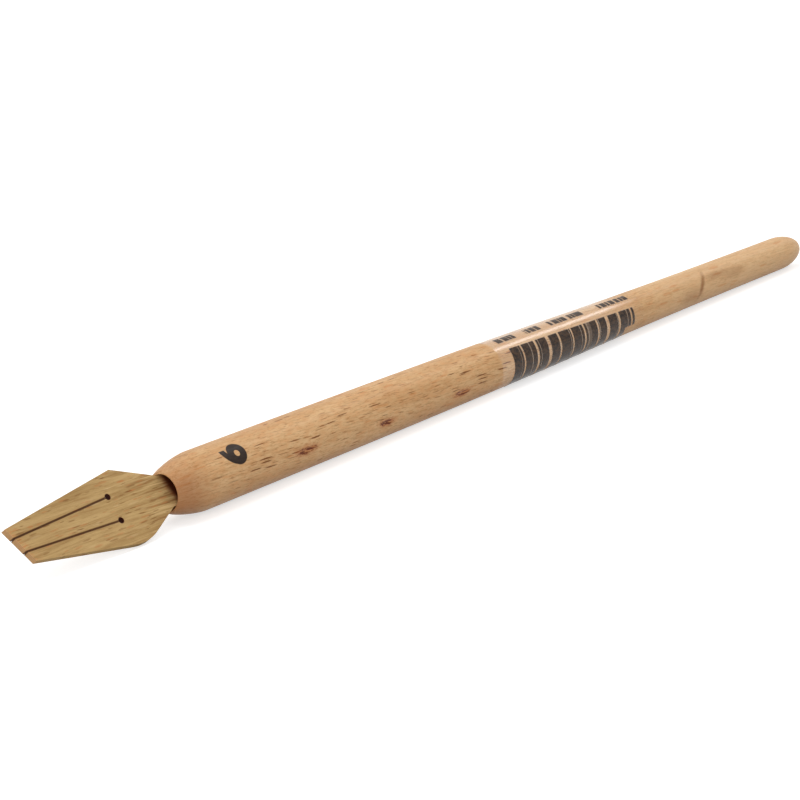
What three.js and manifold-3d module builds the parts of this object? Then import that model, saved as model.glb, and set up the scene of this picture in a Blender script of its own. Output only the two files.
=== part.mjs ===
// A calligraphy pen: a flat, slit wooden nib glued into the bored nose of a turned wooden handle.
// Millimetres, +Z up. The pieces are drawn along +X, with the mouth of the bore at X = 0, the nib
// towards -X and its blade level. The pen is then laid down as it rests on a table, tipped over
// onto the near shoulder of its nib.

import * as THREE from "three";
import Module from "manifold-3d";
import { mergeVertices } from "three/addons/utils/BufferGeometryUtils.js";

const wasm = await Module();
wasm.setup();

// Handle
const handleLength = 163.8;
const frontDiameter = 9;
const tailDiameter = 5.8;
const noseLength = 6.7; // from the mouth back to the full front diameter
const noseRise = 0.5; // how far the nose rises squarely off the lip before it leans back
const noseRun = 2.4; // how far it runs level before the full diameter
const lipWidth = 0.1; // flat ring between the bore and the round of the nose
const frontPull = 112; // how far back the front's gentle slope pulls the taper's curve
const frontEase = 0.56; // the fall in radius along that pull
const tailPull = 77; // how far forward the tail's gentle slope pulls it
const tailEase = 0.36;
const tailDomeLength = 6.8;

// Bore that takes the tang
const boreDiameter = 5.5;
const boreBehindTang = 4; // from the tang's end to the bottom of the bore
const drillPointLength = 1.5;

// Nib
const nibThickness = 1;
const shoulderWidth = 11.8;
const shoulderReach = 7.2; // from the mouth out to the widest place
const nearShoulderRadius = 7.6; // the far shoulder is left sharp
const edgeReach = 27.6; // from the mouth out to the middle of the writing edge
const edgeWidth = 6;
const edgeAngle = THREE.MathUtils.degToRad(20); // the far corner reaches out further
const tipOffset = 0.38; // the tip and its slits sit this far to the far side of the axis
const tangLength = 14;
const tangChamfer = 0.7;
const tangClearance = 0.05; // between the tang's corners and the wall of the bore
const nearTangTrim = 0.2; // the tang's near edge is pared back by this much more

// Slits and the round holes that end them
const holeReach = 9.85; // from the mouth out to the holes
const holeDiameter = 0.85;
const holeSpacing = 3.8;
const slitSpacing = 2.3; // between the slits where they run out at the writing edge
const slitWidthAtEdge = 0.2;
const slitWidthAtHole = 0.1;

// Glue that beds the tang
const glueSetback = 3; // the glue stops this far inside the mouth
const glueBehindTang = 1.4;
const glueClearance = 0.15;

// Clear film round the handle
const filmStart = 72.8;
const filmLength = 39.5;
const filmThickness = 0.08;
const filmClearance = 0.03;
const filmFrom = THREE.MathUtils.degToRad(20); // round the axis, from +Y towards +Z
const filmTo = THREE.MathUtils.degToRad(195);

// How finely round forms are cut
const roundSides = 64;
const noseSteps = 10;
const taperSteps = 26;
const domeSteps = 8;
const cornerSteps = 16;

const frontRadius = frontDiameter / 2;
const tailRadius = tailDiameter / 2;
const boreRadius = boreDiameter / 2;
const halfThickness = nibThickness / 2;
const domeStart = handleLength - tailDomeLength;
const boreDepth = tangLength + boreBehindTang;

const beech = new THREE.MeshStandardMaterial({ color: 0xc99d6c, roughness: 0.45, metalness: 0 });
const nibWood = new THREE.MeshStandardMaterial({ color: 0xb4945f, roughness: 0.7, metalness: 0 });
const amberGlue = new THREE.MeshStandardMaterial({ color: 0xa8742c, roughness: 0.35, metalness: 0 });
const clearFilm = new THREE.MeshStandardMaterial({
  color: 0xe8e2d8, roughness: 0.12, metalness: 0, transparent: true, opacity: 0.35,
});

// Turns a profile of (distance along X, radius) points about the X axis.
function turned(profile) {
  const points = profile.map((p) => new THREE.Vector2(p.y, p.x));
  return new THREE.LatheGeometry(points, roundSides).rotateZ(-Math.PI / 2).rotateX(-Math.PI / 2);
}

function toSolid(geometry) {
  const bare = geometry.clone();
  bare.deleteAttribute("normal");
  bare.deleteAttribute("uv");
  const merged = mergeVertices(bare, 1e-5);
  const mesh = new wasm.Mesh({
    numProp: 3,
    vertProperties: new Float32Array(merged.attributes.position.array),
    triVerts: new Uint32Array(merged.index.array),
  });
  return new wasm.Manifold(mesh);
}

function toGeometry(solid) {
  const mesh = solid.getMesh();
  const geometry = new THREE.BufferGeometry();
  geometry.setAttribute("position", new THREE.BufferAttribute(mesh.vertProperties, 3));
  geometry.setIndex(new THREE.BufferAttribute(mesh.triVerts, 1));
  return geometry;
}

function named(name, geometry, material) {
  const mesh = new THREE.Mesh(geometry, material);
  mesh.name = name;
  return mesh;
}

// The round of the nose, from the lip of the bore to the full diameter.
function noseRound() {
  const lipRadius = boreRadius + lipWidth;
  const round = new THREE.CubicBezierCurve(
    new THREE.Vector2(0, lipRadius),
    new THREE.Vector2(0, lipRadius + noseRise),
    new THREE.Vector2(noseLength - noseRun, frontRadius),
    new THREE.Vector2(noseLength, frontRadius),
  );
  return round.getPoints(noseSteps);
}

// The long taper: gentle at the front, steeper behind the middle and gentle again at the tail.
function taper() {
  const curve = new THREE.CubicBezierCurve(
    new THREE.Vector2(noseLength, frontRadius),
    new THREE.Vector2(noseLength + frontPull, frontRadius - frontEase),
    new THREE.Vector2(domeStart - tailPull, tailRadius + tailEase),
    new THREE.Vector2(domeStart, tailRadius),
  );
  return curve.getPoints(taperSteps);
}

function tailDome() {
  const dome = new THREE.EllipseCurve(
    domeStart, 0, tailDomeLength, tailRadius, Math.PI / 2, 0, true,
  );
  const points = dome.getPoints(domeSteps);
  points[domeSteps].set(handleLength, 0);
  return points;
}

function handleOutside() {
  return [...noseRound(), ...taper().slice(1), ...tailDome().slice(1)];
}

function handle() {
  const bore = [
    new THREE.Vector2(boreDepth, 0),
    new THREE.Vector2(boreDepth - drillPointLength, boreRadius),
    new THREE.Vector2(0, boreRadius),
  ];
  return named("handle", turned([...bore, ...handleOutside()]), beech);
}

// Half the tang's width: its corners clear the wall of the bore by the tang's clearance.
function tangHalfWidth() {
  return Math.sqrt((boreRadius - tangClearance) ** 2 - halfThickness ** 2);
}

// Draws an outline on to a corner and rounds it off, on the way to the next point.
function roundCorner(outline, before, corner, after, radius) {
  const back = before.clone().sub(corner).normalize();
  const on = after.clone().sub(corner).normalize();
  const halfAngle = Math.acos(back.dot(on)) / 2;
  const middle = back.clone().add(on).normalize().multiplyScalar(radius / Math.sin(halfAngle));
  const centre = corner.clone().add(middle);
  const start = corner.clone().addScaledVector(back, radius / Math.tan(halfAngle)).sub(centre);
  const end = corner.clone().addScaledVector(on, radius / Math.tan(halfAngle)).sub(centre);
  outline.absarc(centre.x, centre.y, radius, start.angle(), end.angle(), false);
}

// A point on the line of the writing edge, a given distance from its middle towards the far side.
function onEdge(distance) {
  const along = new THREE.Vector2(-Math.sin(edgeAngle), Math.cos(edgeAngle));
  return new THREE.Vector2(-edgeReach, tipOffset).addScaledVector(along, distance);
}

// Runs an outline from the writing edge up one side of a slit, round its hole and down the other.
// The side is 1 for the far slit and -1 for the near one.
function cutSlit(outline, side) {
  const across = (side * slitSpacing) / 2 / Math.cos(edgeAngle);
  const mouth = onEdge(across);
  const hole = new THREE.Vector2(-holeReach, tipOffset + (side * holeSpacing) / 2);
  const radius = holeDiameter / 2;
  const towardsEdge = mouth.clone().sub(hole).angle();
  const halfOpening = Math.asin(slitWidthAtHole / 2 / radius);
  const farLip = onEdge(across + slitWidthAtEdge / 2);
  const nearLip = onEdge(across - slitWidthAtEdge / 2);
  outline.lineTo(farLip.x, farLip.y);
  outline.absarc(hole.x, hole.y, radius, towardsEdge - halfOpening, towardsEdge + halfOpening, true);
  outline.lineTo(nearLip.x, nearLip.y);
}

// The nib's outline, seen from above: down the writing edge, out along the near side, round the
// tang and back along the far side.
function nibOutline() {
  const farCorner = onEdge(edgeWidth / 2);
  const nearCorner = onEdge(-edgeWidth / 2);
  const farShoulder = new THREE.Vector2(-shoulderReach, shoulderWidth / 2);
  const nearShoulder = new THREE.Vector2(-shoulderReach, -shoulderWidth / 2);
  const tangHalf = tangHalfWidth();
  const nearHalf = tangHalf - nearTangTrim;
  const nearNeck = new THREE.Vector2(0, -nearHalf);
  const outline = new THREE.Shape();
  outline.moveTo(farCorner.x, farCorner.y);
  cutSlit(outline, 1);
  cutSlit(outline, -1);
  outline.lineTo(nearCorner.x, nearCorner.y);
  roundCorner(outline, nearCorner, nearShoulder, nearNeck, nearShoulderRadius);
  outline.lineTo(nearNeck.x, nearNeck.y);
  outline.lineTo(tangLength - tangChamfer, -nearHalf);
  outline.lineTo(tangLength, tangChamfer - nearHalf);
  outline.lineTo(tangLength, tangHalf - tangChamfer);
  outline.lineTo(tangLength - tangChamfer, tangHalf);
  outline.lineTo(0, tangHalf);
  outline.lineTo(farShoulder.x, farShoulder.y);
  outline.closePath();
  return outline;
}

function nib() {
  const blade = new THREE.ExtrudeGeometry(nibOutline(), {
    depth: nibThickness, bevelEnabled: false, curveSegments: cornerSteps,
  });
  return named("nib", blade.translate(0, 0, -halfThickness), nibWood);
}

// The glue fills the bore above, below and behind the tang.
function tangGlue() {
  const radius = boreRadius - glueClearance;
  const end = tangLength + glueBehindTang;
  const plug = turned([
    new THREE.Vector2(glueSetback, 0),
    new THREE.Vector2(glueSetback, radius),
    new THREE.Vector2(end, radius),
    new THREE.Vector2(end, 0),
  ]);
  const slotLength = 2 * (tangLength + glueClearance);
  const slot = new THREE.BoxGeometry(slotLength, boreDiameter, nibThickness + 2 * glueClearance);
  return named("tang_glue", toGeometry(toSolid(plug).subtract(toSolid(slot))), amberGlue);
}

// The radius of the handle's outside at a distance from the mouth.
function handleRadiusAt(x) {
  const outside = handleOutside();
  const next = outside.findIndex((p) => p.x >= x);
  const before = outside[next - 1];
  const after = outside[next];
  return THREE.MathUtils.mapLinear(x, before.x, after.x, before.y, after.y);
}

// A sector of a thin sleeve that follows the handle's taper.
function labelFilm() {
  const filmEnd = filmStart + filmLength;
  const under = [
    new THREE.Vector2(filmStart, handleRadiusAt(filmStart)),
    ...taper().filter((p) => p.x > filmStart && p.x < filmEnd),
    new THREE.Vector2(filmEnd, handleRadiusAt(filmEnd)),
  ].map((p) => new THREE.Vector2(p.x, p.y + filmClearance));
  const over = under.map((p) => new THREE.Vector2(p.x, p.y + filmThickness));
  const sleeve = turned([...over, ...under.reverse(), over[0]]);
  const wedge = new THREE.Shape();
  wedge.moveTo(0, 0);
  wedge.absarc(0, 0, frontDiameter, filmFrom, filmTo, false);
  wedge.closePath();
  const cutter = new THREE.ExtrudeGeometry(wedge, { depth: handleLength, bevelEnabled: false });
  cutter.rotateX(Math.PI / 2).rotateZ(Math.PI / 2);
  return named("label_film", toGeometry(toSolid(sleeve).intersect(toSolid(cutter))), clearFilm);
}

// Halves an interval until it closes on the value where a falling quantity passes zero.
function zeroOf(falling, low, high) {
  for (let step = 0; step < 40; step += 1) {
    const middle = (low + high) / 2;
    if (falling(middle) > 0) {
      low = middle;
    } else {
      high = middle;
    }
  }
  return (low + high) / 2;
}

function highest(points, height) {
  return Math.max(...points.map(height));
}

// Where the handle balances, as the middle of its volume. The wood that the bore takes away and
// the nib that fills it are left out, because they nearly cancel.
function balancePoint(outside) {
  let volume = 0;
  let moment = 0;
  for (let i = 1; i < outside.length; i += 1) {
    const slice = (outside[i].x - outside[i - 1].x) * ((outside[i].y + outside[i - 1].y) / 2) ** 2;
    volume += slice;
    moment += (slice * (outside[i].x + outside[i - 1].x)) / 2;
  }
  return moment / volume;
}

// The table's slope against the axis, once the handle has rocked along its curved underside until
// it touches the table below its balance point.
function undersideFall() {
  const outside = handleOutside();
  const balance = balancePoint(outside);
  const lower = (a, b, fall) => (b.y + fall * b.x > a.y + fall * a.x ? b : a);
  const touching = (fall) => outside.reduce((a, b) => lower(a, b, fall));
  return zeroOf((fall) => balance - touching(fall).x, 0, 1);
}

// The angle that the pen rolls through before the near shoulder of its nib meets the table.
function restingRoll(fall) {
  const depthAtMouth = highest(handleOutside(), (p) => p.y + fall * p.x);
  const rim = nibOutline().getPoints(cornerSteps);
  const clearance = (roll) => depthAtMouth - highest(
    rim, (p) => fall * p.x - p.y * Math.sin(roll) + halfThickness * Math.cos(roll),
  );
  return zeroOf(clearance, 0, Math.PI / 2);
}

// Rolls the pen onto the shoulder of its nib, levels its underside and stands it on Z = 0, with the
// middle of its box over the origin.
function laidDown(pieces) {
  const fall = undersideFall();
  const rolled = new THREE.Group();
  rolled.add(...pieces);
  rolled.rotation.x = restingRoll(fall);
  const levelled = new THREE.Group();
  levelled.add(rolled);
  levelled.rotation.y = Math.atan(fall);
  const box = new THREE.Box3().setFromObject(levelled, true);
  const middle = box.getCenter(new THREE.Vector3());
  levelled.position.set(-middle.x, -middle.y, -box.min.z);
  const pen = new THREE.Group();
  pen.name = "calligraphy_pen";
  pen.add(levelled);
  return pen;
}

export default laidDown([handle(), nib(), tangGlue(), labelFilm()]);
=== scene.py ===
import math

import bmesh
import bpy
from mathutils import Matrix, Vector
from mathutils.geometry import interpolate_bezier


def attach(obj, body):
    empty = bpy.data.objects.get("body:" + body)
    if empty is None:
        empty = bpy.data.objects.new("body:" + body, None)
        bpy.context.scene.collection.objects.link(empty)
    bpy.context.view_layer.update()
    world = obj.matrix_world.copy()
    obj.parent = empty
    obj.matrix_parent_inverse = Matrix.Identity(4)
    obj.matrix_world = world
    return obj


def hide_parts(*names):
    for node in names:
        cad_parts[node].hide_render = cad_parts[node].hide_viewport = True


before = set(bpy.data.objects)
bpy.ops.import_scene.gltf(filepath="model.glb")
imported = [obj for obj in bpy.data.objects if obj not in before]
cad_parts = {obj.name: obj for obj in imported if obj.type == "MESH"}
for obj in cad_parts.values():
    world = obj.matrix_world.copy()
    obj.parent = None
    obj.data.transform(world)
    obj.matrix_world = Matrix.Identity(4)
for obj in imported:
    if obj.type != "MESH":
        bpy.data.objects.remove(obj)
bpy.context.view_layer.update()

# Lengths of the pen are in millimetres, measured along it from the mouth of the handle's bore.
# Angles round the handle run from the pen's own +Y towards its own +Z.
MM = 0.001

# How the pen lies on the table: rolled onto the near shoulder of its nib, and tipped until the
# handle meets the table too
PEN_ROLL = math.radians(55.630521)
PEN_PITCH = math.radians(0.6364417)
MOUTH_PLACE = Vector((-67.5958994, 0.0, 4.8029239))

# Handle. The pulls and eases place the handles of the curve that its taper follows.
HANDLE_LENGTH = 163.8
FRONT_RADIUS = 4.5
TAIL_RADIUS = 2.9
NOSE_LENGTH = 6.7
NOSE_RISE = 0.5
NOSE_RUN = 2.4
LIP_WIDTH = 0.1
FRONT_PULL = 112.0
FRONT_EASE = 0.56
TAIL_PULL = 77.0
TAIL_EASE = 0.36
TAIL_DOME_LENGTH = 6.8
DOME_START = HANDLE_LENGTH - TAIL_DOME_LENGTH
BORE_RADIUS = 2.75
BORE_DEPTH = 18.0
DRILL_POINT_LENGTH = 1.5
RIM_ROUND = 0.07
RIM_STEPS = 4
NOSE_STEPS = 40
TAPER_STEPS = 190
DOME_STEPS = 26
TURN_STEPS = 240

# Nib. Its edges are eased where they turn by more than NIB_EDGE_FROM, after the faces that lie
# within NIB_FLAT_WITHIN of flat are joined.
EDGE_REACH = 27.6
EDGE_ANGLE = math.radians(20)
TIP_OFFSET = 0.38
HOLE_REACH = 9.85
HOLE_RADIUS = 0.425
HOLE_SPACING = 3.8
SLIT_SPACING = 2.3
SLIT_WIDTH = 0.2
SLIT_CLOSING = 0.6
# Width of the dark band beside each slit and round each hole
DARK_LINE_WIDTH = 0.14
NIB_EDGE_ROUND = 0.04
NIB_EDGE_STEPS = 3
NIB_EDGE_FROM = math.radians(30)
NIB_FLAT_WITHIN = math.radians(1)

# Clear film round the handle. Its gloss stops short of its end.
FILM_START = 72.8
FILM_LENGTH = 39.5
FILM_GAP = 0.03
FILM_THICKNESS = 0.08
FILM_FROM = math.radians(20)
FILM_TO = math.radians(195)
FILM_STEPS = 60
GLOSS_FADE = 101.0
GLOSS_END = 110.2
GLOSS_STARTS_WITHIN = 0.05
GLOSS_STOPS_WITHIN = 0.1
PRINT_CENTRE = math.radians(103.5)

# Print on the film. Angles are in degrees from the print's centre, towards the lower side, and a
# slant is in degrees for each millimetre along.
BARS_START = 75.9
BARS_END = 109.3
BARS_TOP = -21.0
BARS_SLANT = 0.39
BARS_ENDS_SOFT = 0.1
BARS_EDGE_SOFT = 1.5
LAST_BAR = 2.6
LAST_BAR_FOOT = 42.5
WIDE_GAP_EVERY = 3.3
WIDE_GAP_HALF = 0.3
WIDE_GAP_SOFT = 0.14
THIN_GAP_EVERY = 2.7
THIN_GAP_HALF = 0.14
THIN_GAP_SOFT = 0.1
GAP_STRAY = 4.0
DASHES_TOP = -63.0
DASHES_FOOT = -43.0
DASHES_SLANT = 0.2
DASHES_EDGE_SOFT = 2.0
DASH_EVERY = 1.2
DASH_GAP_HALF = 0.12
DASH_GAP_SOFT = 0.1
DASH_GROUPS = ((75.0, 79.6), (82.4, 86.2), (88.7, 97.6), (102.0, 109.9))

# Number stamped on the wood: an oval loop, and a hook that is part of a wider ring. A stroke is
# inked out to its first half width and bare from its second.
LOOP_ALONG = 12.12
LOOP_ARC = -1.58
LOOP_LENGTH = 1.15
LOOP_WIDTH = 1.22
LOOP_RADIUS = 0.95
LOOP_STROKE = (0.49, 0.57)
HOOK_ALONG = 12.3
HOOK_ARC = -2.91
HOOK_RADIUS = 2.55
HOOK_STROKE = (0.48, 0.58)
HOOK_TIP = (0.1, 0.24)
HOOK_JOINT = (-0.2, 0.0)

# Torn spots and stains in the handle's wood, as (along, arc) centres and half sizes. A stain also
# has a lean, how far it moves along for each millimetre round, and a strength.
TORN_SPOTS = (
    ((25.5, 1.85), (1.9, 0.5)),
    ((43.9, 2.47), (1.5, 0.45)),
    ((62.4, 2.5), (1.7, 0.42)),
)
TORN_DEPTH = 0.14
TORN_REACH = 1.8
TORN_CUTS = 3
STAINS = (
    ((129.9, 0.4), (0.5, 1.9), 0.7, 0.7),
    ((134.4, -0.5), (2.8, 0.6), 0.0, 0.4),
    ((139.5, 0.1), (3.0, 0.9), 0.0, 0.3),
    ((126.4, 1.8), (2.8, 1.1), 0.0, 0.35),
)

# Where the beech changes along the handle, in millimetres from the mouth
END_GRAIN = (1.0, 7.5)
RAYS_COME = (3, 14)
RAYS_GO = (72, 118)
PALER_TAIL = (108, 126)

# Where it changes round the handle, in degrees from the print's centre towards the lower side
# The nose's end grain browns more across this range, from its top to its front, as painted shade
END_GRAIN_SHADES = (-50, 0)
RAY_BAND_STARTS = (-34, -4)
RAY_BAND_ENDS = (12, 46)
GLOSS_GOES = (10, 60)

# Grain: how far it strays to the side, how much it slopes for each millimetre along, and how ragged
# its flecks are. The height of a relief is in metres. The nib's streaks strengthen along a stretch
# in front of the mouth.
BEECH_DRIFT = 1.2
BEECH_SLOPE = -0.045
BEECH_RAG = 0.16
BEECH_RELIEF = 0.000018
NIB_DRIFT = 1.2
NIB_SLOPE = 0.03
NIB_RAG = 0.2
NIB_RELIEF = 0.00005
NIB_STREAKS_GROW = (-7.0, -1.0)
GLUE_RELIEF = 0.0001

# Painted shade behind the handle's mouth, on the bore's wall and on the nib inside it, which begins
# deeper in on the near side than on the far side, and how far the redder wood and the paler face
# reach in from the oblique cut
NEAR_TO_FAR = (-2.4, 0.6)
BORE_SHADE_RANGE = (0.15, 1.1)
BORE_SHADE_SKIN = 0.06
ROOT_SHADE = (0.1, 0.9)
TANG_SHADE_RANGE = (0.6, 1.4)
NEAR_CUT_REACH = 1.7
CUT_FACE_REACH = 0.14

# Flecks: the range of their lean, the smallest as a part of full size, and their soft edge
FLECK_LEAN = 0.3
FLECK_SMALLEST = 0.4
FLECK_EDGE = (0.55, 1.0)

# Rays of the wood: the cell that may hold one, and its half size, along, across and inwards
LARGE_RAY = ((4.2, 0.62, 5.0), (2.0, 0.16, 3.0))
SMALL_RAY = ((2.6, 0.42, 3.0), (1.25, 0.1, 1.8))
ORANGE_RAY = ((4.2, 1.1, 4.0), (1.9, 0.26, 2.4))
NIB_DARK_RAY = ((2.3, 0.6, 3.0), (1.1, 0.17, 1.4))
NIB_ORANGE_RAY = ((2.4, 0.6, 3.0), (1.15, 0.2, 1.4))
NIB_PALE_RAY = ((3.6, 0.9, 3.0), (1.7, 0.2, 1.4))

# Lumps of noise in a millimetre, along, across and inwards
BEECH_WANDER = (0.05, 0.25, 0.2)
BEECH_BROAD = (0.035, 0.5, 0.35)
BEECH_STREAK = (0.3, 4.0, 2.4)
BEECH_MOTTLE = (0.7, 1.6, 1.2)
BEECH_PORES = (1.1, 6.5, 5.0)
BEECH_RAGGED = (1.2, 3.0, 3.0)
BEECH_TORN = (0.9, 5.0, 5.0)
NIB_WANDER = (0.08, 0.3, 0.3)
NIB_BROAD = (0.05, 0.7, 0.7)
NIB_STREAK = (0.22, 3.4, 3.4)
NIB_PORES = (0.9, 9.0, 9.0)
NIB_RAGGED = (1.2, 4.0, 4.0)
NIB_LIGHT = (0.1, 2.6, 2.6)
NIB_LIGHT_SHIFT = 9.0 / 2.6
PRINT_STRAY = (0.3, 0.0, 0.0)
PRINT_FADED = (1.3, 2.0, 0.0)
GLUE_CLOUD = (0.8, 0.8, 0.8)

# Camera and lights, in metres and watts. The picture is 800 pixels wide.
CAMERA_PLACE = Vector((-0.349473, -0.295546, 0.12106))
CAMERA_AZIMUTH = math.radians(-138.496)
CAMERA_ELEVATION = math.radians(14.666)
CAMERA_ROLL = math.radians(-6.227)
PICTURE_WIDTH = 800
FOCAL_PIXELS = 3003.49
SENSOR_WIDTH = 36.0
NEAREST_SEEN = 0.01
TENT_LIGHT = 0.52
FLOOR_SIZE = 3.0
FLOOR_BOUNCE = 0.5
FLOOR_SHOWN = 0.7
FLOOR_GLOW = 0.6
KEY_PLACE = (-0.1, 0.25, 0.95)
KEY_SIZE = (0.9, 0.9)
KEY_POWER = 4.2
FILL_PLACE = (-0.75, -0.7, 0.4)
FILL_SIZE = (0.8, 0.8)
FILL_POWER = 3.6
GLOSS_PLACE = (0.78, -0.104, 0.64)
GLOSS_TARGET = (0.02, 0.0, 0.01)
GLOSS_SIZE = (0.15, 0.5)
GLOSS_POWER = 1.1


def pen_place():
    """Takes millimetres in the pen's own frame to metres in the row's frame."""
    lifted = Matrix.Translation(MOUTH_PLACE)
    levelled = Matrix.Rotation(PEN_PITCH, 4, "Y")
    rolled = Matrix.Rotation(PEN_ROLL, 4, "X")
    return Matrix.Scale(MM, 4) @ lifted @ levelled @ rolled


def finished_piece(name, shape, material, replaced):
    """Makes an object of a shape that is already in place, and lets it ride on the pen."""
    mesh = bpy.data.meshes.new(name)
    shape.to_mesh(mesh)
    shape.free()
    mesh.shade_smooth()
    mesh.materials.append(material)
    piece = bpy.data.objects.new(name, mesh)
    bpy.context.scene.collection.objects.link(piece)
    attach(piece, "root")
    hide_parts(replaced)
    return piece


def wire(shape, points):
    """Joins points into one open line."""
    line = [shape.verts.new(point) for point in points]
    for start, end in zip(line, line[1:]):
        shape.edges.new((start, end))
    return line


def turn(shape, angle, steps, whole):
    """Spins the line about the pen's axis."""
    bmesh.ops.spin(
        shape, geom=shape.verts[:] + shape.edges[:], axis=(1, 0, 0), cent=(0, 0, 0),
        dvec=(0, 0, 0), angle=angle, steps=steps, use_merge=whole, use_duplicate=False,
    )
    bmesh.ops.remove_doubles(shape, verts=shape.verts, dist=1e-5)


def handle_outside():
    """The handle's profile from the lip of its bore to its butt, as points over the axis."""
    lip = BORE_RADIUS + LIP_WIDTH
    nose = interpolate_bezier(
        Vector((0, 0, lip)),
        Vector((0, 0, lip + NOSE_RISE)),
        Vector((NOSE_LENGTH - NOSE_RUN, 0, FRONT_RADIUS)),
        Vector((NOSE_LENGTH, 0, FRONT_RADIUS)),
        NOSE_STEPS,
    )
    taper = interpolate_bezier(
        Vector((NOSE_LENGTH, 0, FRONT_RADIUS)),
        Vector((NOSE_LENGTH + FRONT_PULL, 0, FRONT_RADIUS - FRONT_EASE)),
        Vector((DOME_START - TAIL_PULL, 0, TAIL_RADIUS + TAIL_EASE)),
        Vector((DOME_START, 0, TAIL_RADIUS)),
        TAPER_STEPS,
    )
    quarter = [math.pi / 2 * step / DOME_STEPS for step in range(1, DOME_STEPS)]
    dome = [
        Vector((DOME_START + TAIL_DOME_LENGTH * math.sin(a), 0, TAIL_RADIUS * math.cos(a)))
        for a in quarter
    ]
    return nose + taper[1:] + dome + [Vector((HANDLE_LENGTH, 0, 0))]


def hollow(shape, centre, half):
    """Presses a shallow torn spot into the turned wood, on a finer net of faces."""
    def reach(vertex):
        radius = math.hypot(vertex.co.y, vertex.co.z)
        arc = (math.atan2(vertex.co.z, vertex.co.y) - PRINT_CENTRE) * radius
        return math.hypot((vertex.co.x - centre[0]) / half[0], (arc - centre[1]) / half[1])
    close = {vertex for vertex in shape.verts if reach(vertex) < TORN_REACH}
    near = [edge for edge in shape.edges if close.issuperset(edge.verts)]
    bmesh.ops.subdivide_edges(shape, edges=near, cuts=TORN_CUTS, use_grid_fill=True)
    for vertex in shape.verts:
        inside = 1 - reach(vertex) ** 2
        if inside > 0:
            inwards = Vector((0, vertex.co.y, vertex.co.z)).normalized()
            vertex.co -= inwards * TORN_DEPTH * inside ** 1.5


def turned_handle(material):
    """The handle, turned from one profile that also goes down into its bore."""
    shape = bmesh.new()
    bore = [
        Vector((BORE_DEPTH, 0, 0)),
        Vector((BORE_DEPTH - DRILL_POINT_LENGTH, 0, BORE_RADIUS)),
        Vector((0, 0, BORE_RADIUS)),
    ]
    line = wire(shape, bore + handle_outside())
    rim = line[len(bore) - 1]
    bmesh.ops.bevel(
        shape, geom=[rim], offset=RIM_ROUND, segments=RIM_STEPS, profile=0.5,
        affect="VERTICES", material=-1,
    )
    turn(shape, math.tau, TURN_STEPS, whole=True)
    bmesh.ops.recalc_face_normals(shape, faces=shape.faces)
    for centre, half in TORN_SPOTS:
        hollow(shape, centre, half)
    shape.transform(pen_place())
    return finished_piece("turned_handle", shape, material, "handle")


def slit_ends(side):
    """Where one slit leaves the writing edge, and the middle of the hole that it runs to."""
    half = side * SLIT_SPACING / 2
    mouth = Vector((-EDGE_REACH - half * math.tan(EDGE_ANGLE), TIP_OFFSET + half, 0))
    hole = Vector((-HOLE_REACH, TIP_OFFSET + side * HOLE_SPACING / 2, 0))
    return mouth, hole


def spring_shut(shape, side):
    """Draws the two walls of a slit together, as the wood beside a fine cut springs back.

    The slit is half as wide at its hole as at the writing edge, so its corners there lie closer in.
    """
    mouth, hole = slit_ends(side)
    run = (hole - mouth).normalized()
    sideways = Vector((-run.y, run.x, 0))
    for vertex in shape.verts:
        from_hole = vertex.co - hole
        off = from_hole.dot(sideways)
        reach = -from_hole.dot(run)
        at_hole = 0 < reach < 1 and abs(off) < SLIT_WIDTH * 0.35
        at_edge = reach > 1 and abs(off) < SLIT_WIDTH * 0.65
        if at_hole or at_edge:
            vertex.co -= sideways * off * SLIT_CLOSING


def carved_nib(material):
    """The CAD nib with its slits nearly shut and its arrises eased."""
    shape = bmesh.new()
    shape.from_mesh(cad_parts["nib"].data)
    shape.transform(pen_place().inverted())
    bmesh.ops.remove_doubles(shape, verts=shape.verts, dist=1e-3)
    bmesh.ops.dissolve_limit(
        shape, angle_limit=NIB_FLAT_WITHIN, verts=shape.verts, edges=shape.edges,
        use_dissolve_boundaries=False, delimit={"NORMAL"},
    )
    spring_shut(shape, 1)
    spring_shut(shape, -1)
    arrises = [edge for edge in shape.edges if edge.calc_face_angle(0) > NIB_EDGE_FROM]
    bmesh.ops.bevel(
        shape, geom=arrises, offset=NIB_EDGE_ROUND, segments=NIB_EDGE_STEPS, profile=0.5,
        affect="EDGES", clamp_overlap=True, material=-1,
    )
    shape.transform(pen_place())
    nib = finished_piece("carved_nib", shape, material, "nib")
    eased = nib.modifiers.new("flat_faces", "WEIGHTED_NORMAL")
    eased.keep_sharp = True
    return nib


def printed_film(material):
    """The film, spun as one wall over the taper and then given its thickness."""
    shape = bmesh.new()
    over = [point for point in handle_outside() if FILM_START < point.x < FILM_START + FILM_LENGTH]
    wire(shape, [point + Vector((0, 0, FILM_GAP)) for point in over])
    quarter_turn = math.pi / 2
    bmesh.ops.rotate(
        shape, verts=shape.verts, cent=(0, 0, 0),
        matrix=Matrix.Rotation(FILM_FROM - quarter_turn, 3, "X"),
    )
    turn(shape, FILM_TO - FILM_FROM, FILM_STEPS, whole=False)
    bmesh.ops.recalc_face_normals(shape, faces=shape.faces)
    bmesh.ops.solidify(shape, geom=shape.faces[:], thickness=FILM_THICKNESS)
    bmesh.ops.recalc_face_normals(shape, faces=shape.faces)
    shape.transform(pen_place())
    return finished_piece("printed_film", shape, material, "label_film")


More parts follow.
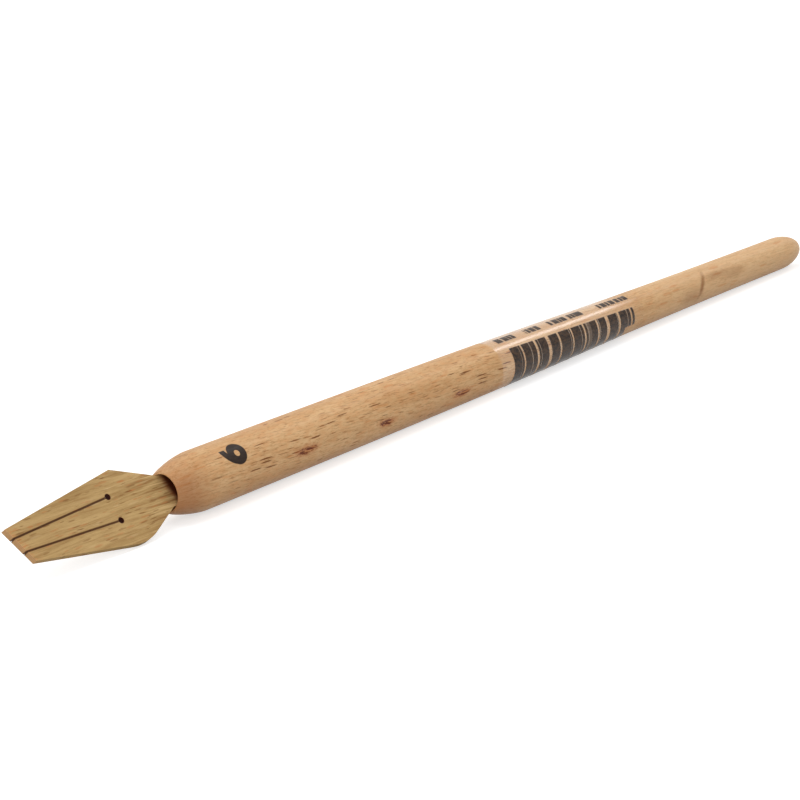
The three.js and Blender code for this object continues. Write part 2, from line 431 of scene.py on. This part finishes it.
class Amount:
    """One socket of a material. Arithmetic on it adds the Math nodes."""

    def __init__(self, finish, socket):
        self.finish = finish
        self.socket = socket

    def math(self, operation, *others):
        values = dict(enumerate((self, *others)))
        return self.finish.node("ShaderNodeMath", {"operation": operation}, values)

    def after(self, operation, other):
        values = {0: other, 1: self}
        return self.finish.node("ShaderNodeMath", {"operation": operation}, values)

    def __add__(self, other):
        return self.math("ADD", other)

    def __radd__(self, other):
        return self.math("ADD", other)

    def __sub__(self, other):
        return self.math("SUBTRACT", other)

    def __rsub__(self, other):
        return self.after("SUBTRACT", other)

    def __mul__(self, other):
        return self.math("MULTIPLY", other)

    def __rmul__(self, other):
        return self.math("MULTIPLY", other)

    def __truediv__(self, other):
        return self.math("DIVIDE", other)

    def __rtruediv__(self, other):
        return self.after("DIVIDE", other)

    def between(self, low, high):
        """0 below low and 1 above high, with a soft step from one to the other."""
        settings = {"interpolation_type": "SMOOTHSTEP"}
        values = {"Value": self, "From Min": low, "From Max": high}
        return self.finish.node("ShaderNodeMapRange", settings, values)

    def past(self, edge, soft):
        """0 before an edge and 1 after it, with a step that is as soft on either side of it."""
        return self.between(edge - soft, edge + soft)


class Finish:
    """The nodes of a material, or of the world, which end in the shader given to show()."""

    def __init__(self, owner, end="ShaderNodeOutputMaterial"):
        owner.use_nodes = True
        self.owner = owner
        self.tree = owner.node_tree
        self.tree.nodes.clear()
        self.end = self.tree.nodes.new(end)

    def node(self, kind, settings=None, values=None, out=0):
        made = self.tree.nodes.new(kind)
        for name, setting in (settings or {}).items():
            setattr(made, name, setting)
        for key, value in (values or {}).items():
            self.plug(made.inputs[key], value)
        return Amount(self, made.outputs[out])

    def plug(self, socket, value):
        if isinstance(value, Amount):
            self.tree.links.new(value.socket, socket)
        else:
            socket.default_value = value

    def again(self, amount, out):
        """Another output of the node that an amount comes from."""
        return Amount(self, amount.socket.node.outputs[out])

    def mix(self, factor, low, high):
        """From one colour to another as the factor goes from 0 to 1."""
        values = {0: factor, 6: low, 7: high}
        return self.node("ShaderNodeMix", {"data_type": "RGBA"}, values, out=2)

    def pen_frame(self):
        """Object coordinates turned back into the pen's own frame, in millimetres."""
        back = pen_place().inverted()
        settings = {"vector_type": "POINT"}
        values = {
            "Vector": self.node("ShaderNodeTexCoord", out="Object"),
            "Location": back.to_translation(),
            "Rotation": back.to_euler(),
            "Scale": back.to_scale(),
        }
        return self.parts(self.node("ShaderNodeMapping", settings, values))

    def parts(self, vector):
        x = self.node("ShaderNodeSeparateXYZ", values={0: vector})
        return x, self.again(x, 1), self.again(x, 2)

    def vector(self, x, y, z):
        return self.node("ShaderNodeCombineXYZ", values={0: x, 1: y, 2: z})

    def noise(self, place, lumps, detail=2.0, roughness=0.5):
        """Noise over a place, with about so many lumps in a millimetre of each direction."""
        counted = [amount * count for amount, count in zip(place, lumps)]
        values = {
            "Vector": self.vector(*counted), "Scale": 1.0, "Detail": detail, "Roughness": roughness,
        }
        return self.node("ShaderNodeTexNoise", values=values)

    def bump(self, height, distance):
        return self.node("ShaderNodeBump", values={"Height": height, "Distance": distance})

    def show(self, shader):
        """Ends the nodes with a shader, and gives the material or world back."""
        self.plug(self.end.inputs["Surface"], shader)
        return self.owner

    def dress(self, values):
        """Ends a material with a Principled shader that has these values on its sockets."""
        return self.show(self.node("ShaderNodeBsdfPrincipled", values=values))


def new_finish(name):
    return Finish(bpy.data.materials.new(name))


def paint(red, green, blue):
    """A colour as it is given, 0 to 255, made linear."""
    def linear(value):
        value /= 255
        return value / 12.92 if value <= 0.04045 else ((value + 0.055) / 1.055) ** 2.4
    return linear(red), linear(green), linear(blue), 1.0


# Colours of the beech and of its marks
PALE_BEECH = paint(223, 183, 134)
TAN_BEECH = paint(209, 165, 116)
TAIL_BEECH = paint(235, 201, 156)
ORANGE_MOTTLE = paint(212, 152, 98)
BROWN_STREAK = paint(178, 130, 80)
BROWN_PORE = paint(160, 104, 46)
ORANGE_FLECK = paint(200, 122, 56)
SMALL_FLECK = paint(136, 78, 18)
LARGE_FLECK = paint(110, 60, 10)
# End grain of the nose, laid on more thickly lower down as painted shade
BROWN_END_GRAIN_AND_SHADE = paint(162, 104, 64)
TORN_HALO = paint(176, 94, 40)
TORN_RUST = paint(96, 38, 2)
BROWN_STAIN = paint(132, 74, 22)
# Painted shade on the wall inside the bore
PAINTED_BORE_SHADE = paint(96, 36, 16)
STAMP_INK = paint(24, 12, 8)

# Colours of the nib
PALE_NIB = paint(196, 162, 108)
TAN_NIB = paint(180, 146, 94)
NIB_BROWN_STREAK = paint(150, 112, 66)
NIB_BROWN_PORE = paint(140, 98, 54)
NIB_LIGHT_STREAK = paint(222, 188, 134)
NIB_DARK_STREAK = paint(136, 88, 48)
NIB_PALE_FLECK = paint(214, 184, 136)
NIB_ORANGE_FLECK = paint(192, 122, 72)
NIB_DARK_FLECK = paint(126, 82, 40)
NEAR_CUT = paint(204, 144, 92)
CUT_FACE = paint(216, 168, 122)
# Darker beside the slits and inside the holes
DARK_SLIT_LINE = paint(80, 44, 22)
DARK_HOLE_WALL = paint(62, 18, 4)
# Painted shade on the nib's root and on its tang inside the handle's mouth
SHADED_ROOT = paint(130, 66, 34)
PAINTED_TANG_SHADE = paint(78, 28, 10)

# Colours of the film, its ink and the glue
CLEAR_FILM = paint(228, 220, 210)
DARK_INK = paint(42, 30, 22)
WORN_INK = paint(78, 56, 38)
AMBER_GLUE = paint(150, 96, 36)
DARK_GLUE = paint(104, 60, 20)


def grey(value):
    """A linear grey, 0 to 1."""
    return value, value, value, 1.0


def distance(*offsets):
    """How far a place is from the middle, by its offset in each direction."""
    squares = [offset * offset for offset in offsets]
    return sum(squares[1:], squares[0]).math("SQRT")


def lens_flecks(finish, grain, ray, share, seed):
    """Rays of the wood cut across: short lenses along the grain, one in some of the cells."""
    along, side, deep = grain
    cell, half = ray
    spot = finish.vector(along / cell[0] + seed, side / cell[1], deep / cell[2])
    cells = finish.node("ShaderNodeTexVoronoi", {"feature": "F1"}, {"Vector": spot, "Scale": 1.0})
    centre = finish.again(cells, "Position")
    away = finish.node("ShaderNodeVectorMath", {"operation": "SUBTRACT"}, {0: spot, 1: centre})
    away_along, away_side, away_deep = finish.parts(away)
    chance, size, tone = finish.parts(finish.again(cells, "Color"))
    lean = (tone - 0.5) * FLECK_LEAN
    x = away_along * (cell[0] / half[0])
    y = (away_side + away_along * lean) * (cell[1] / half[1])
    z = away_deep * (cell[2] / half[2])
    drawn = size * (1 - FLECK_SMALLEST) + FLECK_SMALLEST
    lens = 1 - (distance(x, y, z) / drawn).between(*FLECK_EDGE)
    chosen = 1 - chance.past(share, 0.02)
    return lens * chosen * (tone * 0.5 + 0.5)


def towards_print(across, up):
    """Offsets from the pen's axis, to the side and outwards, for an eye over the print's centre."""
    side = up * math.cos(PRINT_CENTRE) - across * math.sin(PRINT_CENTRE)
    outwards = across * math.cos(PRINT_CENTRE) + up * math.sin(PRINT_CENTRE)
    return side, outwards


def round_the_handle(side, outwards):
    """The angle from the print's centre, in degrees, and the arc to it at this depth."""
    turned = side.math("ARCTAN2", outwards)
    return turned * math.degrees(1), turned * distance(side, outwards)


def patch(along, arc, centre, half, edge, rough):
    """An oval mark: 1 in the middle and 0 outside, with its edge softened and made ragged."""
    x = (along - centre[0]) / half[0]
    y = (arc - centre[1]) / half[1]
    return 1 - (distance(x, y) + rough).past(1, edge)


def size_number(along, arc):
    """The 6 stamped on the wood, its top towards the nib: a loop and a hook that runs into it."""
    x = (along - LOOP_ALONG) / LOOP_LENGTH
    y = (arc - LOOP_ARC) / LOOP_WIDTH
    from_loop = (distance(x, y) - LOOP_RADIUS).math("ABSOLUTE")
    loop = 1 - from_loop.between(*LOOP_STROKE)
    x = along - HOOK_ALONG
    y = arc - HOOK_ARC
    from_hook = (distance(x, y) - HOOK_RADIUS).math("ABSOLUTE")
    hook = 1 - from_hook.between(*HOOK_STROKE)
    hook = hook * y.between(*HOOK_TIP) * (1 - x.between(*HOOK_JOINT))
    return loop.math("MAXIMUM", hook)


def plain_beech(finish, place, streak, mottle, pores):
    """Beech under its rays: broad figure, mottle, streaks and pores, and paler towards the butt."""
    broad = finish.noise(place, BEECH_BROAD, 3.0)
    wood = finish.mix(broad.between(0.35, 0.65), PALE_BEECH, TAN_BEECH)
    wood = finish.mix(mottle.between(0.35, 0.7) * 0.5, wood, ORANGE_MOTTLE)
    wood = finish.mix(streak.between(0.42, 0.75) * 0.6, wood, BROWN_STREAK)
    wood = finish.mix(pores.between(0.52, 0.68) * 0.5, wood, BROWN_PORE)
    paler = place[0].between(*PALER_TAIL)
    return finish.mix(paler * 0.3, wood, TAIL_BEECH)


def beech_rays(finish, grain, angle):
    """Large, small and orange flecks, and how much of the first two shows along the handle."""
    along = grain[0]
    band = angle.between(*RAY_BAND_STARTS) * (1 - angle.between(*RAY_BAND_ENDS))
    shown = (1 - along.between(*RAYS_GO) * 0.85) * (0.4 + along.between(*RAYS_COME) * 0.6)
    large = lens_flecks(finish, grain, LARGE_RAY, share=0.03 + band * 0.67, seed=0.0)
    small = lens_flecks(finish, grain, SMALL_RAY, share=0.3 + band * 0.6, seed=31.0)
    orange = lens_flecks(finish, grain, ORANGE_RAY, share=0.5, seed=67.0)
    return large, small, orange, shown


def torn_and_stained(finish, wood, place, arc, ragged):
    """The torn spots, rust red in an orange halo, and the brown stains near the butt."""
    along = place[0]
    rough = (ragged - 0.5) * 1.6
    torn = finish.noise(place, BEECH_TORN, 2.0, 0.6)
    for centre, half in TORN_SPOTS:
        wider = (half[0] * 1.25, half[1] * 1.5)
        halo = patch(along, arc, centre, wider, 0.5, rough)
        core = patch(along, arc, centre, half, 0.3, rough) * torn.between(0.44, 0.5)
        wood = finish.mix(halo * 0.6, wood, TORN_HALO)
        wood = finish.mix(core * 0.95, wood, TORN_RUST)
    for centre, half, lean, strength in STAINS:
        leaning = along + (arc - centre[1]) * lean
        stain = patch(leaning, arc, centre, half, 0.8, rough * 0.5)
        wood = finish.mix(stain * strength, wood, BROWN_STAIN)
    return wood


def bore_painted_shade(along, across, radius):
    """Painted shade inside the bore: 1 on its wall from just behind its mouth, and from deeper in
    on the near side.
    """
    behind_mouth = along - (1 - across.between(*NEAR_TO_FAR))
    wall = behind_mouth.between(*BORE_SHADE_RANGE) * (1 - along.between(BORE_DEPTH, BORE_DEPTH + 1))
    return wall * (1 - radius.between(BORE_RADIUS, BORE_RADIUS + BORE_SHADE_SKIN))


def under_the_film(along, angle):
    """1 on the wood that the film covers, up to where its gloss ends."""
    covered = along.between(FILM_START, FILM_START + GLOSS_STARTS_WITHIN)
    covered = covered * (1 - along.between(GLOSS_END - GLOSS_STOPS_WITHIN, GLOSS_END))
    covered = covered * angle.math("GREATER_THAN", math.degrees(FILM_FROM - PRINT_CENTRE))
    return covered * angle.math("LESS_THAN", math.degrees(FILM_TO - PRINT_CENTRE))


def beech_finish():
    """Lacquered beech with its marks, the stamped number and the gloss of the film over it."""
    finish = new_finish("lacquered_beech")
    along, across, up = finish.pen_frame()
    side, deep = towards_print(across, up)
    angle, arc = round_the_handle(side, deep)
    wander = finish.noise((along, side, deep), BEECH_WANDER)
    drifted = side + (wander - 0.5) * BEECH_DRIFT + along * BEECH_SLOPE
    place = (along, drifted, deep)
    ragged = finish.noise(place, BEECH_RAGGED, 3.0, 0.6)
    streak = finish.noise(place, BEECH_STREAK, 4.0, 0.62)
    mottle = finish.noise(place, BEECH_MOTTLE, 3.0, 0.6)
    pores = finish.noise(place, BEECH_PORES, 3.0, 0.65)
    wood = plain_beech(finish, place, streak, mottle, pores)
    grain = (along, drifted + (ragged - 0.5) * BEECH_RAG, deep)
    large, small, orange, shown = beech_rays(finish, grain, angle)
    wood = finish.mix(orange * 0.45, wood, ORANGE_FLECK)
    wood = finish.mix(small * shown * 0.8, wood, SMALL_FLECK)
    wood = finish.mix(large * shown, wood, LARGE_FLECK)
    # The nose's end grain is browned all round, and browner from its top down to its front and
    # lower side, which is painted shade
    end_grain = 1 - along.between(*END_GRAIN)
    browned_and_shaded = end_grain * (0.26 + angle.between(*END_GRAIN_SHADES) * 0.38)
    wood = finish.mix(browned_and_shaded, wood, BROWN_END_GRAIN_AND_SHADE)
    wood = torn_and_stained(finish, wood, place, arc, ragged)
    # Painted shade: the wall inside the bore turns dark maroon behind the mouth
    bore = bore_painted_shade(along, across, distance(side, deep))
    wood = finish.mix(bore, wood, PAINTED_BORE_SHADE)
    stamp = size_number(along, arc) * (0.98 + (ragged - 0.5) * 0.08)
    wood = finish.mix(stamp, wood, STAMP_INK)
    height = (pores * 0.35 + streak * 0.25) - (large * 0.9 + small * 0.45) * shown
    covered = under_the_film(along, angle)
    pressed = 1 - along.between(GLOSS_FADE, GLOSS_END)
    turned_down = angle.between(*GLOSS_GOES)
    gloss = covered * (0.2 + pressed * (0.55 + mottle * 0.6)) * (1 - turned_down * 0.7)
    return finish.dress({
        "Base Color": wood,
        "Roughness": 0.42 + streak * 0.12 + large * 0.1,
        "Specular IOR Level": 0.16,
        "Normal": finish.bump(height * (1 - covered * 0.8), BEECH_RELIEF),
        "Coat Weight": 0.06 + gloss,
        "Coat Roughness": 0.17,
    })


def slit_darkening(along, across, side):
    """The dark line beside one slit and round its hole, and the dark wall inside the hole."""
    mouth, hole = slit_ends(side)
    run = (hole - mouth).normalized()
    x = along - hole.x
    y = across - hole.y
    off = (x * run.y - y * run.x).math("ABSOLUTE")
    behind_hole = x * run.x + y * run.y
    line = 1 - off.between(SLIT_WIDTH / 2, SLIT_WIDTH / 2 + DARK_LINE_WIDTH)
    line = line * (1 - behind_hole.past(0, 0.1))
    away = distance(x, y)
    ring = 1 - away.between(HOLE_RADIUS, HOLE_RADIUS + DARK_LINE_WIDTH)
    wall = 1 - away.between(HOLE_RADIUS + 0.01, HOLE_RADIUS + 0.05)
    return line.math("MAXIMUM", ring), wall


def plain_nib_wood(finish, place, streak, pores):
    """The nib's wood under its flecks, with light and dark streaks that strengthen at the mouth."""
    along, drifted, up = place
    broad = finish.noise(place, NIB_BROAD, 3.0)
    wood = finish.mix(broad.between(0.35, 0.65), PALE_NIB, TAN_NIB)
    wood = finish.mix(streak.between(0.45, 0.75) * 0.6, wood, NIB_BROWN_STREAK)
    wood = finish.mix(pores.between(0.5, 0.75) * 0.3, wood, NIB_BROWN_PORE)
    light = finish.noise((along, drifted + NIB_LIGHT_SHIFT, up), NIB_LIGHT, 2.0, 0.6)
    near_mouth = along.between(*NIB_STREAKS_GROW)
    pale_streak = light.between(0.5, 0.6) * (0.2 + near_mouth * 0.5)
    dark_streak = (1 - light.between(0.36, 0.48)) * (0.15 + near_mouth * 0.5)
    wood = finish.mix(pale_streak, wood, NIB_LIGHT_STREAK)
    return finish.mix(dark_streak, wood, NIB_DARK_STREAK)


def writing_edge(finish, wood, along, across, ragged):
    """The wood close to the oblique cut, redder than the blade, and the cut itself, paler."""
    past_cut = (along + EDGE_REACH) * -math.cos(EDGE_ANGLE)
    past_cut = past_cut + (across - TIP_OFFSET) * -math.sin(EDGE_ANGLE)
    near_cut = past_cut.between(-NEAR_CUT_REACH, 0.0) * ragged.between(0.42, 0.6)
    wood = finish.mix(near_cut * 0.65, wood, NEAR_CUT)
    cut_face = past_cut.between(-CUT_FACE_REACH, 0.0) * (0.25 + ragged * 0.5)
    return finish.mix(cut_face, wood, CUT_FACE)


def nib_wood_finish():
    """Sanded wood of the nib, darker along its slits and in its holes, with painted shade where it
    goes into the handle.
    """
    finish = new_finish("sanded_nib_wood")
    along, across, up = finish.pen_frame()
    wander = finish.noise((along, across, up), NIB_WANDER)
    drifted = across + (wander - 0.5) * NIB_DRIFT + along * NIB_SLOPE
    place = (along, drifted, up)
    streak = finish.noise(place, NIB_STREAK, 4.0, 0.62)
    pores = finish.noise(place, NIB_PORES, 2.0, 0.6)
    ragged = finish.noise((along, across, up), NIB_RAGGED, 3.0, 0.6)
    wood = plain_nib_wood(finish, place, streak, pores)
    grain = (along, drifted + (ragged - 0.5) * NIB_RAG, up)
    dark = lens_flecks(finish, grain, NIB_DARK_RAY, share=0.8, seed=7.0)
    orange = lens_flecks(finish, grain, NIB_ORANGE_RAY, share=0.85, seed=53.0)
    pale = lens_flecks(finish, grain, NIB_PALE_RAY, share=0.6, seed=91.0)
    wood = finish.mix(pale * 0.5, wood, NIB_PALE_FLECK)
    wood = finish.mix(orange * 0.7, wood, NIB_ORANGE_FLECK)
    wood = finish.mix(dark * 0.8, wood, NIB_DARK_FLECK)
    wood = writing_edge(finish, wood, along, across, ragged)
    far_line, far_wall = slit_darkening(along, across, 1)
    near_line, near_wall = slit_darkening(along, across, -1)
    # Dark lines beside the slits and round the holes, and dark walls inside the holes
    wood = finish.mix(far_line.math("MAXIMUM", near_line) * 0.9, wood, DARK_SLIT_LINE)
    wood = finish.mix(far_wall.math("MAXIMUM", near_wall), wood, DARK_HOLE_WALL)
    # Painted shade where the nib goes into the handle: a little on its root, dark maroon on the
    # tang deeper in
    behind_mouth = along - (1 - across.between(*NEAR_TO_FAR)) * 0.6
    wood = finish.mix(behind_mouth.between(*ROOT_SHADE) * 0.6, wood, SHADED_ROOT)
    wood = finish.mix(behind_mouth.between(*TANG_SHADE_RANGE) * 0.95, wood, PAINTED_TANG_SHADE)
    return finish.dress({
        "Base Color": wood,
        "Roughness": 0.58 + streak * 0.15,
        "Specular IOR Level": 0.12,
        "Normal": finish.bump(streak * 0.5 + pores * 0.5 - dark * 0.6, NIB_RELIEF),
    })


def gap_lines(along, every, half, soft):
    """Lines round the film at an even distance: 1 on a line and 0 between two."""
    phase = ((along / every).math("FRACT") - 0.5).math("ABSOLUTE")
    return 1 - phase.between((half - soft) / every, (half + soft) / every)


def bar_field(along, angle, strayed):
    """1 on the bars, which have a slanting top, and whose last one is shorter at its foot."""
    wide = gap_lines(strayed, WIDE_GAP_EVERY, WIDE_GAP_HALF, WIDE_GAP_SOFT)
    thin = gap_lines(strayed, THIN_GAP_EVERY, THIN_GAP_HALF, THIN_GAP_SOFT) * 0.5
    bars = 1 - wide.math("MAXIMUM", thin)
    bars = bars * along.past(BARS_START, BARS_ENDS_SOFT)
    bars = bars * (1 - along.past(BARS_END, BARS_ENDS_SOFT))
    level = angle - (along - BARS_START) * BARS_SLANT
    bars = bars * level.past(BARS_TOP, BARS_EDGE_SOFT)
    last = along.math("GREATER_THAN", BARS_END - LAST_BAR)
    return bars * (1 - last * angle.past(LAST_BAR_FOOT, BARS_EDGE_SOFT))


def dash_row(along, angle, strayed):
    """1 on the dashes of the row over the bars, which come in groups."""
    level = angle - (along - BARS_START) * DASHES_SLANT
    row = level.past(DASHES_TOP, DASHES_EDGE_SOFT)
    row = row * (1 - level.past(DASHES_FOOT, DASHES_EDGE_SOFT))
    row = row * (1 - gap_lines(strayed, DASH_EVERY, DASH_GAP_HALF, DASH_GAP_SOFT))
    groups = [
        along.math("GREATER_THAN", start) * along.math("LESS_THAN", end)
        for start, end in DASH_GROUPS
    ]
    return row * sum(groups[1:], groups[0])


def film_finish():
    """Clear film with plain bars and a row of plain dashes. Their widths follow no code."""
    finish = new_finish("printed_clear_film")
    along, across, up = finish.pen_frame()
    angle, arc = round_the_handle(*towards_print(across, up))
    strayed = along + finish.noise((along, 0.0, 0.0), PRINT_STRAY) * GAP_STRAY
    faded = finish.noise((along, arc, 0.0), PRINT_FADED, 3.0, 0.6)
    bars = bar_field(along, angle, strayed) * (0.9 + faded * 0.2)
    dashes = dash_row(along, angle, strayed) * (0.7 + faded * 0.4)
    ink = (bars + dashes).math("MINIMUM", 1.0)
    worn = finish.mix(faded.between(0.35, 0.65), DARK_INK, WORN_INK)
    return finish.dress({
        "Base Color": finish.mix(ink.between(0.1, 0.8), CLEAR_FILM, worn),
        "Roughness": 0.16 + faded * 0.05,
        "Specular IOR Level": 0.2,
        "Alpha": 0.03 + ink * 0.97,
    })


def glue_finish():
    """Cloudy amber of the cured glue."""
    finish = new_finish("cured_glue")
    cloud = finish.noise(finish.pen_frame(), GLUE_CLOUD, 3.0)
    return finish.dress({
        "Base Color": finish.mix(cloud, AMBER_GLUE, DARK_GLUE),
        "Roughness": 0.3 + cloud * 0.1,
        "Normal": finish.bump(cloud, GLUE_RELIEF),
    })


def camera():
    """Looks at the pen from where the photograph was taken."""
    view = bpy.data.cameras.new("camera")
    view.sensor_width = SENSOR_WIDTH
    view.lens = FOCAL_PIXELS / PICTURE_WIDTH * SENSOR_WIDTH
    view.clip_start = NEAREST_SEEN
    taker = bpy.data.objects.new("camera", view)
    faced = Matrix.Rotation(CAMERA_AZIMUTH + math.pi / 2, 4, "Z")
    tipped = Matrix.Rotation(math.pi / 2 - CAMERA_ELEVATION, 4, "X")
    rolled = Matrix.Rotation(CAMERA_ROLL, 4, "Z")
    taker.matrix_world = Matrix.Translation(CAMERA_PLACE) @ faced @ tipped @ rolled
    bpy.context.scene.collection.objects.link(taker)
    bpy.context.scene.camera = taker


def seen_directly(finish):
    """1 for rays that show a surface to the camera, straight or by gloss or glass, else 0."""
    path = finish.node("ShaderNodeLightPath", out="Is Camera Ray")
    glossy = finish.again(path, "Is Glossy Ray")
    through = finish.again(path, "Is Transmission Ray")
    return path.math("MAXIMUM", glossy).math("MAXIMUM", through)


def pale_floor():
    """A plain floor. The camera sees it as near white, and it throws less light up than that."""
    shape = bmesh.new()
    bmesh.ops.create_grid(shape, x_segments=1, y_segments=1, size=FLOOR_SIZE)
    mesh = bpy.data.meshes.new("floor")
    shape.to_mesh(mesh)
    shape.free()
    floor = bpy.data.objects.new("floor", mesh)
    bpy.context.scene.collection.objects.link(floor)
    finish = new_finish("white_paper")
    seen = seen_directly(finish)
    mesh.materials.append(finish.dress({
        "Base Color": finish.mix(seen, grey(FLOOR_BOUNCE), grey(FLOOR_SHOWN)),
        "Roughness": 0.9,
        "Specular IOR Level": 0.0,
        "Emission Color": finish.mix(seen, grey(0.0), grey(1.0)),
        "Emission Strength": FLOOR_GLOW,
    }))


def softbox(name, place, target, size, power):
    """A lamp with a rectangular face that looks at its target."""
    lamp = bpy.data.lights.new(name, "AREA")
    lamp.shape = "RECTANGLE"
    lamp.size, lamp.size_y = size
    lamp.energy = power
    holder = bpy.data.objects.new(name, lamp)
    direction = Vector(place) - Vector(target)
    turned = direction.to_track_quat("Z", "Y").to_matrix().to_4x4()
    holder.matrix_world = Matrix.Translation(place) @ turned
    bpy.context.scene.collection.objects.link(holder)


def white_tent():
    """A world that the camera sees as white, and that lights the pen less than that."""
    tent = Finish(bpy.data.worlds.new("studio"), "ShaderNodeOutputWorld")
    strength = TENT_LIGHT + seen_directly(tent) * (1 - TENT_LIGHT)
    values = {"Color": grey(1.0), "Strength": strength}
    bpy.context.scene.world = tent.show(tent.node("ShaderNodeBackground", values=values))


def studio():
    """A white tent all round, a softbox overhead, one in front and a narrow one for the gloss."""
    white_tent()
    softbox("overhead_softbox", KEY_PLACE, (0, 0, 0), KEY_SIZE, KEY_POWER)
    softbox("front_softbox", FILL_PLACE, (0, 0, 0), FILL_SIZE, FILL_POWER)
    softbox("gloss_strip", GLOSS_PLACE, GLOSS_TARGET, GLOSS_SIZE, GLOSS_POWER)


camera()
pale_floor()
studio()
turned_handle(beech_finish())
carved_nib(nib_wood_finish())
printed_film(film_finish())
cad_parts["tang_glue"].data.materials.clear()
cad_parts["tang_glue"].data.materials.append(glue_finish())
bpy.context.scene.view_settings.view_transform = "Standard"
